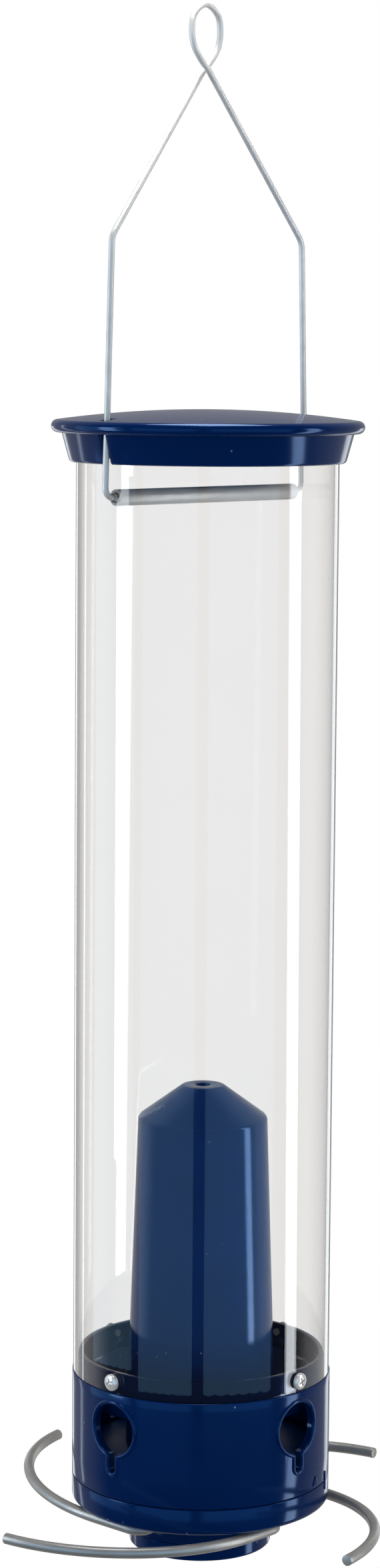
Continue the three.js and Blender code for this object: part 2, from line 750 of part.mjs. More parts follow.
function perch(i) {
  const number = i + 1;
  const group = new THREE.Group();
  group.add(piece(`perch_rod_${number}`, perchRod(perchSet[i]), brushedSteel));
  group.add(piece(`perch_bush_${number}`, perchBush(), bushPlastic));
  group.add(piece(`perch_crank_${number}`, perchCrank(), bushPlastic));
  group.add(piece(`perch_spring_${number}`, perchSpring(), brushedSteel));
  group.position.z = perchAxis;
  group.rotation.z = radians(perchAngle(i));
  return group;
}

// ---- Assembly -----------------------------------------------------------------------------

const feeder = new THREE.Group();
feeder.name = 'hanging_bird_feeder';

feeder.add(piece('hanging_bail', hangingBail(), brushedSteel));
feeder.add(piece('crossbar_sleeve', crossbarSleeve(), aluminium));
feeder.add(piece('cap', cap(), navyPlastic));
feeder.add(piece('clear_tube', clearTube(), clearPlastic));

const ringGroup = new THREE.Group();
ringGroup.rotation.z = radians(portTurn);
ringGroup.add(piece('port_ring', portRing(), navyPlastic));
ringGroup.add(piece('base_ring', baseRing().rotate([0, 0, -portTurn]), navyPlastic));
for (let i = 0; i < portCount; i++) {
  const station = new THREE.Group();
  station.rotation.z = (2 * Math.PI * i) / portCount;
  station.add(piece(`port_hood_${i + 1}`, portHood(), navyPlastic));
  station.add(piece(`tube_screw_${i + 1}`, tubeScrew(), brushedSteel));
  ringGroup.add(station);
}
feeder.add(ringGroup);

feeder.add(piece('seed_floor', seedFloor(), innerPlastic));
feeder.add(piece('seed_tower', seedTower(), innerPlastic));
feeder.add(piece('tie_rod', tieRod(), brushedSteel));
feeder.add(piece('hub_housing', hubHousing(), navyPlastic));
feeder.add(piece('hub_cover', hubCover(), navyPlastic));
bossSpots().forEach(([x, y], i) => {
  const screw = piece(`hub_screw_${i + 1}`, hubScrew(), brushedSteel);
  screw.position.set(x, y, 0);
  feeder.add(screw);
});
perchSet.forEach((set, i) => feeder.add(perch(i)));

feeder.position.set(0, loopOffset, -hookHeight);

export default feeder;
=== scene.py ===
"""Looks for a hanging tube bird feeder with curved drop perches."""

import math

import bpy
from mathutils import Matrix, Vector


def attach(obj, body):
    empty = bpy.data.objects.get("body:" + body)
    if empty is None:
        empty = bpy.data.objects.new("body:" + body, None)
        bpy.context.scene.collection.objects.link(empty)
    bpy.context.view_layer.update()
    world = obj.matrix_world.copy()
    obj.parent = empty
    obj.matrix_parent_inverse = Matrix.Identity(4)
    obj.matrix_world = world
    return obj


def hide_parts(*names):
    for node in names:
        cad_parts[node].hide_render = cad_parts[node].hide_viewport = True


bl_info = {
    "name": "Hanging Tube Bird Feeder",
    "version": (1, 0, 0),
    "blender": (4, 5, 0),
    "location": "View3D > Sidebar > Feeder",
    "description": "Models the visible pieces and finishes of a hanging tube bird feeder",
    "category": "Object",
}

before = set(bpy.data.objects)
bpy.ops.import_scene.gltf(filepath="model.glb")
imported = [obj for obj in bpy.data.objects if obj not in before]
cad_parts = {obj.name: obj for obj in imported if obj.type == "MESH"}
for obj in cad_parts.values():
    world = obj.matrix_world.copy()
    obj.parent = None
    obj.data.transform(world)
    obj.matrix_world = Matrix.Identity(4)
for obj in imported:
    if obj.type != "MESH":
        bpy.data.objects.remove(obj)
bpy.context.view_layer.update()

# ---- Sizes taken over from the frame, in millimetres from the tube's joint line --------------

MM = 0.001
AXIS_Y = 0.0031
SEAM_Z = -0.627

TUBE_RADIUS = 60.0
TUBE_BORE = 58.0
TUBE_FOOT = 0.3
TUBE_RIM = 440.5
TUBE_SIDES = 192
TUBE_LEVELS = (TUBE_FOOT, 2.6, 8.2, 60, 200, 340, 405.5, 413, TUBE_RIM)
SCREW_HOLE_RADIUS = 2.0
BAIL_HOLE_RADIUS = 1.8
CUT_PAST = 3.0  # how far a cutter reaches past a wall
RING_RADIUS = 60.5
RING_BORE = 57.0
RING_FOOT = -49.55
COLLAR_RADIUS = 57.7
COLLAR_BORE = 55.2
COLLAR_TOP = 9.6
COLLAR_FOOT = -3.0
TAPER_FOOT = -5.5  # where the collar's wall has widened to the ring's bore
SCREW_HEIGHT = 5.4
CROSSBAR_HEIGHT = 409.3
SLEEVE_RADIUS = 3.7
SLEEVE_BORE = 2.4
SLEEVE_INSET = 0.5
CAP_GAP = 0.3
CAP_SEAT = 55.0
CAP_DOME = 4.8
CAP_SKIRT_DROP = 16.8
CAP_OVERHANG = 11.4
CAP_RIM_RADIUS = 2.9
CAP_SLOT_HALF = 1.9
CAP_SLOT_START = 59.1
CAP_SLOT_END = 66.8
BASE_TOP = -49.85
BASE_BOTTOM = -62.3
SPIGOT_RADIUS = 56.6
SPIGOT_TOP = -42.1
BASE_WALL = 2.2
BASE_FLOOR = 2.5
BASE_CORNER = 3.0
BASE_HOLE = 23.5
FLOOR_FOOT = -41.8
FLOOR_RIM = -38.7
FLOOR_CROWN = -35.5
FLOOR_CROWN_RADIUS = 37.0
TIE_HOLE = 2.3
TIE_RECESS = 3.4
TIE_RECESS_FOOT = 127.0
TOWER_FOOT = -35.2
TOWER_TOP = 135.3
HUB_RADIUS = 33.3
HUB_INNER = 30.9
HOUSING_TOP = -62.6
HOUSING_FOOT = -75.8
COVER_TOP = -76.1
COVER_BOTTOM = -83.7
COVER_PLATE = 2.4
HUB_SLOT_HALF = 4.4
BOSS_INSET = 3.3
HUB_SCREW_RECESS = 3.1
HUB_SCREW_HOLE = 1.8
HUB_SCREW_DEPTH = 2.1
PERCH_AXIS = -67.4
PERCH_ROOT = 48.1
PERCH_INNER_END = 13.0
PERCH_BEND = 7.0
PERCH_STRAIGHT = 25.2
PERCH_ARC_RADIUS = 80.0
PERCH_ARC_DEGREES = 88.0
WIRE_RADIUS = 1.4
ROD_RADIUS = 2.5
HOOK_Z = 627.0
PORT_TURN = 2.5
PORT_HEIGHT = -16.9
PORT_RADIUS = 12.1
SLOT_HALF = 2.1
SLOT_FOOT = -37.6
MARK_PROUD = 0.5
MARK_SINK = 1.0
TICK_HALF = 0.65
TICK_TURN = 26.0
TICK_FOOT = -53.7
TICK_TOP = -44.9
ARROW_RADIUS = 2.9
ARROW_TURN = 14.0
ARROW_HEIGHT = -46.4
SCREW_SEAT_GAP = 0.3
SCREW_HEAD_RADIUS = 3.85
SCREW_EDGE = 0.2
SCREW_HEAD_DOME = 1.2
SCREW_STEM = 1.7
SCREW_STEM_END = 54.2
CROSS_LENGTH = 4.2
CROSS_WIDTH = 0.95
CROSS_DEPTH = 2.6
PORTS = 4
PERCH_TURN = 7.95
PERCH_REST = ((-1.9, 2.8), (2.4, 4.0), (0.4, 2.2), (-0.8, 2.2))


def place(x, y, z):
    """A point of the feeder, given in millimetres from its joint line, in the frame's metres."""
    return (x * MM, y * MM + AXIS_Y, z * MM + SEAM_Z)


# ---- Settings ---------------------------------------------------------------------------------


class FeederShape(bpy.types.PropertyGroup):
    """Details of shape that the frame leaves open."""

    sides: bpy.props.IntProperty(
        name="Sides", description="Faces round a large turned piece", default=128, min=32
    )
    edge_round: bpy.props.FloatProperty(
        name="Edge Rounding", description="Radius of a moulded edge",
        default=0.0005, unit="LENGTH",
    )
    lip_round: bpy.props.FloatProperty(
        name="Port Lip", description="Radius of the bead round each port",
        default=0.00105, unit="LENGTH",
    )
    fine_round: bpy.props.FloatProperty(
        name="Fine Rounding", description="Radius of a small crisp edge",
        default=0.0003, unit="LENGTH",
    )
    rod_end_round: bpy.props.FloatProperty(
        name="Rod End Rounding", description="Rounding at the ends of rods and wires",
        default=0.0005, unit="LENGTH",
    )


class FeederColours(bpy.types.PropertyGroup):
    """Colours of the feeder's materials."""

    navy: bpy.props.FloatVectorProperty(
        name="Navy", description="Moulded plastic", subtype="COLOR",
        default=(0.0002, 0.0082, 0.045), min=0, max=1,
    )
    # Tower Blue is the navy plastic's colour made about three times lighter, as painted light for the haze
    # and light seen through the tube; the floor dish uses it too.
    tower: bpy.props.FloatVectorProperty(
        name="Tower Blue Painted Light", description="Plastic inside the tube", subtype="COLOR",
        default=(0.0008, 0.028, 0.15), min=0, max=1,
    )
    clear: bpy.props.FloatVectorProperty(
        name="Tube Tint", description="Clear tube", subtype="COLOR",
        default=(0.975, 0.968, 0.958), min=0, max=1,
    )
    steel: bpy.props.FloatVectorProperty(
        name="Steel", description="Stainless wire, rods and screws", subtype="COLOR",
        default=(0.60, 0.57, 0.53), min=0, max=1,
    )
    sleeve: bpy.props.FloatVectorProperty(
        name="Aluminium", description="Crossbar sleeve", subtype="COLOR",
        default=(0.74, 0.735, 0.725), min=0, max=1,
    )
    bush: bpy.props.FloatVectorProperty(
        name="Bearing Plastic", description="Bushes and cranks in the hub", subtype="COLOR",
        default=(0.012, 0.012, 0.014), min=0, max=1,
    )


# ---- Shader groups and materials --------------------------------------------------------------


def new_group(name, inputs, outputs):
    """An empty shader node group with float inputs {name: default} and float outputs."""
    tree = bpy.data.node_groups.new(name, "ShaderNodeTree")
    for label, value in inputs.items():
        socket = tree.interface.new_socket(label, in_out="INPUT", socket_type="NodeSocketFloat")
        socket.default_value = value
    for label in outputs:
        tree.interface.new_socket(label, in_out="OUTPUT", socket_type="NodeSocketFloat")
    return tree, tree.nodes.new("NodeGroupInput"), tree.nodes.new("NodeGroupOutput")


def object_point(tree):
    """The piece's own coordinates."""
    return tree.nodes.new("ShaderNodeTexCoord").outputs["Object"]


def maths(tree, operation, first, second):
    """One Math node; each operand is a socket or a number."""
    made = tree.nodes.new("ShaderNodeMath")
    made.operation = operation
    for socket, value in zip(made.inputs, (first, second)):
        if isinstance(value, (int, float)):
            socket.default_value = value
        else:
            tree.links.new(value, socket)
    return made.outputs[0]


def fine_grain_group():
    """Two sizes of noise: a slow waviness and a fine grain."""
    tree, given, result = new_group(
        "Fine Grain", {"Wave Scale": 40.0, "Grain Scale": 900.0}, ("Wave", "Grain")
    )
    point = object_point(tree)
    for scale, output, detail in (("Wave Scale", "Wave", 2.0), ("Grain Scale", "Grain", 4.0)):
        noise = tree.nodes.new("ShaderNodeTexNoise")
        noise.inputs["Detail"].default_value = detail
        tree.links.new(point, noise.inputs["Vector"])
        tree.links.new(given.outputs[scale], noise.inputs["Scale"])
        tree.links.new(noise.outputs["Fac"], result.inputs[output])
    return tree


def dust_group():
    """A mask of small scattered specks."""
    tree, given, result = new_group("Dust Specks", {"Scale": 260.0, "Size": 0.11}, ("Mask",))
    cells = tree.nodes.new("ShaderNodeTexVoronoi")
    tree.links.new(object_point(tree), cells.inputs["Vector"])
    tree.links.new(given.outputs["Scale"], cells.inputs["Scale"])
    near = maths(tree, "LESS_THAN", cells.outputs["Distance"], given.outputs["Size"])
    chosen = tree.nodes.new("ShaderNodeSeparateColor")
    tree.links.new(cells.outputs["Color"], chosen.inputs["Color"])
    few = maths(tree, "GREATER_THAN", chosen.outputs["Red"], 0.93)
    tree.links.new(maths(tree, "MULTIPLY", near, few), result.inputs["Mask"])
    return tree


def drawn_lines_group():
    """Fine lines along one direction, as on drawn metal; Stretch is the lines' length."""
    tree, given, result = new_group(
        "Drawn Lines", {"Across": 2600.0, "Along": 60.0, "Direction": 0.0}, ("Lines",)
    )
    split = tree.nodes.new("ShaderNodeSeparateXYZ")
    tree.links.new(object_point(tree), split.inputs[0])
    join = tree.nodes.new("ShaderNodeCombineXYZ")
    tree.links.new(maths(tree, "MULTIPLY", split.outputs["X"], given.outputs["Across"]), join.inputs["X"])
    along_y = maths(tree, "MULTIPLY", given.outputs["Direction"], given.outputs["Along"])
    rest = maths(tree, "SUBTRACT", 1.0, given.outputs["Direction"])
    across_y = maths(tree, "MULTIPLY", rest, given.outputs["Across"])
    y_scale = maths(tree, "ADD", along_y, across_y)
    tree.links.new(maths(tree, "MULTIPLY", split.outputs["Y"], y_scale), join.inputs["Y"])
    along_z = maths(tree, "MULTIPLY", rest, given.outputs["Along"])
    across_z = maths(tree, "MULTIPLY", given.outputs["Direction"], given.outputs["Across"])
    z_scale = maths(tree, "ADD", along_z, across_z)
    tree.links.new(maths(tree, "MULTIPLY", split.outputs["Z"], z_scale), join.inputs["Z"])
    noise = tree.nodes.new("ShaderNodeTexNoise")
    noise.inputs["Scale"].default_value = 1.0
    noise.inputs["Detail"].default_value = 3.0
    tree.links.new(join.outputs[0], noise.inputs["Vector"])
    tree.links.new(noise.outputs["Fac"], result.inputs["Lines"])
    return tree


GROUPS = {}


def effect(tree, name, **values):
    """Places a shared shader group in a material with its own values."""
    makers = {
        "Fine Grain": fine_grain_group,
        "Dust Specks": dust_group,
        "Drawn Lines": drawn_lines_group,
    }
    if name not in GROUPS:
        GROUPS[name] = makers[name]()
    made = tree.nodes.new("ShaderNodeGroup")
    made.node_tree = GROUPS[name]
    for label, value in values.items():
        made.inputs[label.replace("_", " ").title()].default_value = value
    return made


def between(tree, mask, low, high):
    """A value that runs from low to high as mask runs from 0 to 1."""
    spread = tree.nodes.new("ShaderNodeMapRange")
    spread.inputs["To Min"].default_value = low
    spread.inputs["To Max"].default_value = high
    tree.links.new(mask, spread.inputs["Value"])
    return spread.outputs["Result"]


def blend_colour(tree, mask, low, high):
    """A colour that runs from low to high as mask runs from 0 to 1; low may be a socket."""
    mix = tree.nodes.new("ShaderNodeMix")
    mix.data_type = "RGBA"
    for label, value in (("A_Color", low), ("B_Color", high)):
        socket = next(s for s in mix.inputs if s.identifier == label)
        if isinstance(value, bpy.types.NodeSocket):
            tree.links.new(value, socket)
        else:
            socket.default_value = (*value, 1.0)
    tree.links.new(mask, next(s for s in mix.inputs if s.identifier == "Factor_Float"))
    return next(s for s in mix.outputs if s.identifier == "Result_Color")


def bump(tree, height, strength, distance):
    """A Bump node fed by height."""
    made = tree.nodes.new("ShaderNodeBump")
    made.inputs["Strength"].default_value = strength
    made.inputs["Distance"].default_value = distance
    tree.links.new(height, made.inputs["Height"])
    return made.outputs["Normal"]


def new_material(name, **constants):
    """A material with one Principled shader; constants go on the shader's own sockets."""
    made = bpy.data.materials.new(name)
    made.use_nodes = True
    shader = made.node_tree.nodes["Principled BSDF"]
    for label, value in constants.items():
        shader.inputs[label.replace("_", " ")].default_value = value
    return made, made.node_tree, shader


def tinted(colour, factor):
    """A colour made lighter or darker."""
    return tuple(min(1.0, part * factor) for part in colour)


def gloss_plastic(name, colour, rough, specular):
    """Glossy moulded plastic with slight waviness, faint wear in the gloss and a little dust."""
    made, tree, shader = new_material(
        name, IOR=1.47, Specular_IOR_Level=specular, Specular_Tint=(0.22, 0.48, 1.0, 1.0)
    )
    grain = effect(tree, "Fine Grain", wave_scale=34.0, grain_scale=1400.0)
    dust = effect(tree, "Dust Specks", scale=210.0, size=0.09)
    tone = blend_colour(tree, grain.outputs["Wave"], tinted(colour, 0.88), tinted(colour, 1.14))
    base = blend_colour(tree, dust.outputs["Mask"], tone, (0.10, 0.13, 0.24))
    tree.links.new(base, shader.inputs["Base Color"])
    gloss = between(tree, grain.outputs["Wave"], rough * 0.8, rough * 1.25)
    worn = maths(tree, "ADD", gloss, maths(tree, "MULTIPLY", dust.outputs["Mask"], 0.3))
    tree.links.new(worn, shader.inputs["Roughness"])
    skin = maths(tree, "ADD", grain.outputs["Wave"], maths(tree, "MULTIPLY", grain.outputs["Grain"], 0.03))
    tree.links.new(bump(tree, skin, 0.06, 0.0004), shader.inputs["Normal"])
    return made


def clear_plastic(name, colour):
    """Clear extruded tube, very slightly wavy, with faint haze in its gloss."""
    made, tree, shader = new_material(name, IOR=1.49, Transmission_Weight=1.0)
    grain = effect(tree, "Fine Grain", wave_scale=26.0, grain_scale=700.0)
    tone = blend_colour(tree, grain.outputs["Wave"], tinted(colour, 0.995), tinted(colour, 1.01))
    tree.links.new(tone, shader.inputs["Base Color"])
    haze = between(tree, grain.outputs["Wave"], 0.0, 0.008)
    tree.links.new(haze, shader.inputs["Roughness"])
    return made


def drawn_metal(name, colour, rough, direction=0.0, metallic=0.6):
    """Drawn and brushed metal: fine lines in the gloss and the surface, and soft tarnish."""
    made, tree, shader = new_material(name, Metallic=metallic)
    grain = effect(tree, "Fine Grain", wave_scale=120.0, grain_scale=2600.0)
    lines = effect(tree, "Drawn Lines", across=2600.0, along=70.0, direction=direction)
    mixed = maths(tree, "MULTIPLY", lines.outputs["Lines"], grain.outputs["Grain"])
    tone = blend_colour(tree, grain.outputs["Wave"], tinted(colour, 0.82), tinted(colour, 1.16))
    tree.links.new(tone, shader.inputs["Base Color"])
    gloss = between(tree, lines.outputs["Lines"], rough * 0.75, rough * 1.3)
    tree.links.new(gloss, shader.inputs["Roughness"])
    tree.links.new(bump(tree, mixed, 0.12, 0.0001), shader.inputs["Normal"])
    return made


def matt_plastic(name, colour):
    """Dark bearing plastic with a fine eroded texture."""
    made, tree, shader = new_material(name)
    grain = effect(tree, "Fine Grain", wave_scale=90.0, grain_scale=3200.0)
    tone = blend_colour(tree, grain.outputs["Wave"], tinted(colour, 0.8), tinted(colour, 1.3))
    tree.links.new(tone, shader.inputs["Base Color"])
    tree.links.new(between(tree, grain.outputs["Grain"], 0.42, 0.62), shader.inputs["Roughness"])
    tree.links.new(bump(tree, grain.outputs["Grain"], 0.3, 0.0002), shader.inputs["Normal"])
    return made


FINISHES = {}


def finish(name):
    """One of the feeder's materials, made the first time it is asked for."""
    colours = bpy.context.scene.feeder_colours
    makers = {
        "navy": lambda: gloss_plastic("Navy Plastic", tuple(colours.navy), 0.13, 0.5),
        # The tower's colour is the navy made lighter: painted light for the light seen through the tube.
        "tower": lambda: gloss_plastic("Tower Plastic Painted Light", tuple(colours.tower), 0.14, 1.0),
        "clear": lambda: clear_plastic("Clear Tube Plastic", tuple(colours.clear)),
        "steel": lambda: drawn_metal("Stainless Rod", tuple(colours.steel), 0.5),
        # The floor dish also takes the lightened navy: painted light for the light seen through the tube.
        "floor": lambda: gloss_plastic("Floor Plastic Painted Light", tuple(colours.tower), 0.4, 0.25),
        "rod": lambda: drawn_metal("Perch Steel", tinted(tuple(colours.steel), 0.72), 0.42, 0.0, 0.8),
        "screw": lambda: drawn_metal("Stainless Screw", tinted(tuple(colours.steel), 1.2), 0.2),
        "sleeve": lambda: drawn_metal("Aluminium Sleeve", tuple(colours.sleeve), 0.42, 1.0, 0.35),
        "bush": lambda: matt_plastic("Bearing Plastic", tuple(colours.bush)),
    }
    if name not in FINISHES:
        FINISHES[name] = makers[name]()
    return FINISHES[name]


# ---- Modelling --------------------------------------------------------------------------------


def deselect():
    """Leaves edit mode and selects nothing."""
    if bpy.context.object and bpy.context.object.mode != "OBJECT":
        bpy.ops.object.mode_set(mode="OBJECT")
    bpy.ops.object.select_all(action="DESELECT")


def pick(obj):
    """Selects one object and makes it active."""
    deselect()
    obj.select_set(True)
    bpy.context.view_layer.objects.active = obj


def settle(obj, turn=(0, 0, 0), move=(0, 0, 0)):
    """Turns and moves an object, then applies its place to its mesh."""
    pick(obj)
    obj.matrix_world = Matrix.Translation(move) @ turned_by(*turn) @ obj.matrix_world
    bpy.ops.object.transform_apply(location=True, rotation=True, scale=True)
    return obj


def turned_by(x, y, z):
    """A rotation in degrees about X, then Y, then Z."""
    about_x = Matrix.Rotation(math.radians(x), 4, "X")
    about_y = Matrix.Rotation(math.radians(y), 4, "Y")
    return Matrix.Rotation(math.radians(z), 4, "Z") @ about_y @ about_x


def use_modifier(obj, kind, **settings):
    """Adds a modifier, sets it up and applies it."""
    pick(obj)
    bpy.ops.object.modifier_add(type=kind)
    modifier = obj.modifiers[-1]
    for label, value in settings.items():
        setattr(modifier, label, value)
    bpy.ops.object.modifier_apply(modifier=modifier.name)


def cut(obj, tool, operation="DIFFERENCE"):
    """Cuts obj with tool, or joins or intersects them, and removes the tool."""
    use_modifier(obj, "BOOLEAN", operation=operation, object=tool, solver="EXACT")
    bpy.data.objects.remove(tool)


def round_edges(obj, width, segments=3, angle=35):
    """Rounds the sharp edges and shades the rest smooth."""
    use_modifier(
        obj, "BEVEL", width=width, segments=segments, limit_method="ANGLE",
        angle_limit=math.radians(angle), use_clamp_overlap=True, harden_normals=False,
    )
    smooth(obj)


def smooth(obj, angle=32):
    """Smooth shading that keeps real corners."""
    pick(obj)
    bpy.ops.object.shade_smooth_by_angle(angle=math.radians(angle))


def turned(name, outline, sides=None, centre=None):
    """Extrudes a circle ring by ring along (radius, height) points.

    An outline that starts on the axis starts with a filled disc, and one that ends there
    closes to a point. Any other outline closes on its first ring.
    """
    sides = sides or bpy.context.scene.feeder_shape.sides
    foot = Vector(centre) if centre is not None else Vector(place(0, 0, 0))
    solid = outline[0][0] == 0
    rings = [point for point in outline if point[0] > 0]
    radius, height = rings[0]
    deselect()
    bpy.ops.mesh.primitive_circle_add(
        vertices=sides, radius=radius * MM, fill_type="NGON" if solid else "NOTHING",
        location=foot + Vector((0, 0, height * MM)),
    )
    obj = bpy.context.object
    obj.name = name
    bpy.ops.object.mode_set(mode="EDIT")
    bpy.ops.mesh.select_all(action="SELECT")
    for next_radius, next_height in rings[1:] + ([] if solid else rings[:1]):
        rise = (0, 0, (next_height - height) * MM)
        bpy.ops.mesh.extrude_region_move(TRANSFORM_OT_translate={"value": rise})
        share = next_radius / radius
        middle = foot + Vector((0, 0, next_height * MM))
        bpy.ops.transform.resize(value=(share, share, 1), center_override=middle)
        radius, height = next_radius, next_height
    bpy.ops.mesh.select_all(action="SELECT")
    bpy.ops.mesh.remove_doubles(threshold=1e-6)
    bpy.ops.mesh.normals_make_consistent(inside=False)
    bpy.ops.object.mode_set(mode="OBJECT")
    return settle(obj)


def wire(name, stations, radius, end_round, closed=False):
    """A round wire through the stations, in metres."""
    deselect()
    bpy.ops.curve.primitive_bezier_curve_add(location=(0, 0, 0))
    obj = bpy.context.object
    obj.name = name
    route = obj.data
    route.splines.clear()
    spline = route.splines.new("POLY")
    spline.points.add(len(stations) - 1)
    for point, station in zip(spline.points, stations):
        point.co = (*station, 1.0)
    spline.use_cyclic_u = closed
    route.dimensions = "3D"
    route.bevel_depth = radius
    route.bevel_resolution = 6
    route.use_fill_caps = not closed
    pick(obj)
    bpy.ops.object.convert(target="MESH")
    bpy.ops.object.mode_set(mode="EDIT")
    bpy.ops.mesh.select_all(action="SELECT")
    bpy.ops.mesh.remove_doubles(threshold=1e-7)
    bpy.ops.mesh.normals_make_consistent(inside=False)
    bpy.ops.object.mode_set(mode="OBJECT")
    if closed:
        smooth(obj, 60)
    else:
        round_edges(obj, end_round, angle=60)
    return settle(obj)


def arc(start, heading, side, radius, degrees, count):
    """Stations on an arc that leaves start along heading and turns towards side."""
    centre = start + side * radius
    turn = math.radians(degrees) / count
    return [
        centre - side * (radius * math.cos(turn * i)) + heading * (radius * math.sin(turn * i))
        for i in range(1, count + 1)
    ]


def box(low, high):
    """A block between two corners in feeder millimetres."""
    deselect()
    low, high = Vector(place(*low)), Vector(place(*high))
    bpy.ops.mesh.primitive_cube_add(size=1, location=(low + high) / 2, scale=high - low)
    return settle(bpy.context.object)


def rod_along_x(radius, start, end, height, sides=64):
    """A round bar along X in feeder millimetres."""
    deselect()
    bpy.ops.mesh.primitive_cylinder_add(
        vertices=sides, radius=radius * MM, depth=(end - start) * MM,
        rotation=(0, math.pi / 2, 0), location=place((start + end) / 2, 0, height),
    )
    return settle(bpy.context.object)


def about_axis(obj, degrees):
    """Turns a piece about the feeder's own axis."""
    axis = Vector((0, AXIS_Y, 0))
    return settle(settle(settle(obj, move=-axis), turn=(0, 0, degrees)), move=axis)


def join(first, *others):
    """Joins objects into the first."""
    pick(first)
    for other in others:
        other.select_set(True)
    bpy.ops.object.join()
    return first


def hand_over(obj, name, material, slot, body, *nodes):
    """Names a finished piece, gives it its finish and ties it to the frame."""
    obj.name = name
    obj.data.name = name
    obj.data.materials.clear()
    obj.data.materials.append(finish(material))
    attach(obj, body)
    if nodes:
        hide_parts(*nodes)
    return obj


# ---- Pieces -----------------------------------------------------------------------------------


class FEEDER_OT_tube(bpy.types.Operator):
    """Model the clear tube with its screw and bail holes"""

    bl_idname = "feeder.tube"
    bl_label = "Clear Tube"

    def execute(self, context):
        outline = [(TUBE_RADIUS, z) for z in TUBE_LEVELS]
        outline += [(TUBE_BORE, z) for z in reversed(TUBE_LEVELS)]
        tube = turned("tube", outline, sides=TUBE_SIDES)
        start, end = TUBE_BORE - CUT_PAST, TUBE_RADIUS + CUT_PAST
        for port in range(PORTS):
            hole = rod_along_x(SCREW_HOLE_RADIUS, start, end, SCREW_HEIGHT, 32)
            cut(tube, about_axis(hole, PORT_TURN + 90 * port))
        for side in (90, -90):
            hole = rod_along_x(BAIL_HOLE_RADIUS, start, end, CROSSBAR_HEIGHT, 32)
            cut(tube, about_axis(hole, side))
        smooth(tube)
        hand_over(tube, "tube_wall", "clear", "clear_plastic", "feeder", "clear_tube")
        return {"FINISHED"}


class FEEDER_OT_bail(bpy.types.Operator):
    """Model the wire bail with its crossed strands and hanging loop"""

    bl_idname = "feeder.bail"
    bl_label = "Wire Bail"

    def execute(self, context):
        shape = context.scene.feeder_shape
        loop = loop_stations()
        left = leg_stations(-1, loop[0])
        right = leg_stations(1, loop[-1])
        stations = [place(*point) for point in left + loop + right[::-1]]
        bail = wire("bail", stations, WIRE_RADIUS * MM, shape.rod_end_round)
        hand_over(bail, "bail_wire", "steel", "brushed_steel", "feeder", "hanging_bail")
        return {"FINISHED"}


LEG_FOOT = 64.6
LEG_LEAN = 3.5
FOOT_BEND = 4.5
SHOULDER_Z = 524.5
SHOULDER_BEND = 10.0
CROSSING_Z = 599.1
LOOP_HALF = 10.1
LOOP_SHIFT = 3.1
STRAND = 1.75


def leg_stations(side, crossing):
    """One half of the bail, from inside the sleeve up to the crossing."""
    elbow = Vector((0, side * (LEG_FOOT - FOOT_BEND), CROSSBAR_HEIGHT))
    foot_end = Vector((0, side * (TUBE_BORE - 11), CROSSBAR_HEIGHT))
    up = Vector((0, 0, 1))
    stations = [foot_end, elbow] + arc(elbow, Vector((0, side, 0)), up, FOOT_BEND, 90, 10)
    shoulder = Vector((0, side * (LEG_FOOT - LEG_LEAN), SHOULDER_Z))
    leg = (shoulder - stations[-1]).normalized()
    strand = (crossing - shoulder).normalized()
    bend = leg.angle(strand)
    start = shoulder - leg * (SHOULDER_BEND * math.tan(bend / 2))
    inward = Vector((0, -side, 0))
    across = (inward - leg * inward.dot(leg)).normalized()
    return stations + [start] + arc(start, leg, across, SHOULDER_BEND, math.degrees(bend), 8)


def loop_stations():
    """The eye of the bail, from one crossing strand round to the other."""
    crown = HOOK_Z + WIRE_RADIUS
    eye = crown - LOOP_HALF * 1.22
    half = (
        (1.0, 0.0, CROSSING_Z),
        (1.0, 0.52, CROSSING_Z + 4.9),
        (0.9, 0.9, eye - 6.6),
        (0.6, 1.0, eye),
        (0.3, 0.8, eye + LOOP_HALF * 0.76),
    )
    guide = [Vector((-STRAND * s, -LOOP_SHIFT + LOOP_HALF * w, z)) for s, w, z in half]
    guide.append(Vector((0, -LOOP_SHIFT, crown)))
    guide += [Vector((STRAND * s, -LOOP_SHIFT - LOOP_HALF * w, z)) for s, w, z in half[::-1]]
    return smooth_through(guide, 8)


def smooth_through(guide, steps):
    """Centripetal spline stations through guide points."""
    ends = [guide[0] * 2 - guide[1]] + guide + [guide[-1] * 2 - guide[-2]]
    stations = [guide[0]]
    for i in range(1, len(ends) - 2):
        a, b, c, d = ends[i - 1 : i + 3]
        t1 = (b - a).length ** 0.5
        t2 = t1 + (c - b).length ** 0.5
        t3 = t2 + (d - c).length ** 0.5
        for k in range(1, steps + 1):
            t = t1 + (t2 - t1) * k / steps
            a1 = a * ((t1 - t) / t1) + b * (t / t1)
            a2 = b * ((t2 - t) / (t2 - t1)) + c * ((t - t1) / (t2 - t1))
            a3 = c * ((t3 - t) / (t3 - t2)) + d * ((t - t2) / (t3 - t2))
            b1 = a1 * ((t2 - t) / t2) + a2 * (t / t2)
            b2 = a2 * ((t3 - t) / (t3 - t1)) + a3 * ((t - t1) / (t3 - t1))
            stations.append(b1 * ((t2 - t) / (t2 - t1)) + b2 * ((t - t1) / (t2 - t1)))
    return stations


class FEEDER_OT_sleeve(bpy.types.Operator):
    """Model the aluminium crossbar sleeve"""

    bl_idname = "feeder.sleeve"
    bl_label = "Crossbar Sleeve"

    def execute(self, context):
        half = TUBE_BORE - SLEEVE_INSET
        outline = [
            (SLEEVE_BORE, -half), (SLEEVE_RADIUS, -half), (SLEEVE_RADIUS, half), (SLEEVE_BORE, half),
        ]
        sleeve = turned("sleeve", outline, sides=48, centre=(0, 0, 0))
        round_edges(sleeve, context.scene.feeder_shape.fine_round)
        settle(sleeve, turn=(90, 0, 0), move=place(0, 0, CROSSBAR_HEIGHT))
        hand_over(sleeve, "crossbar_tube", "sleeve", "aluminium", "crossbar", "crossbar_sleeve")
        return {"FINISHED"}


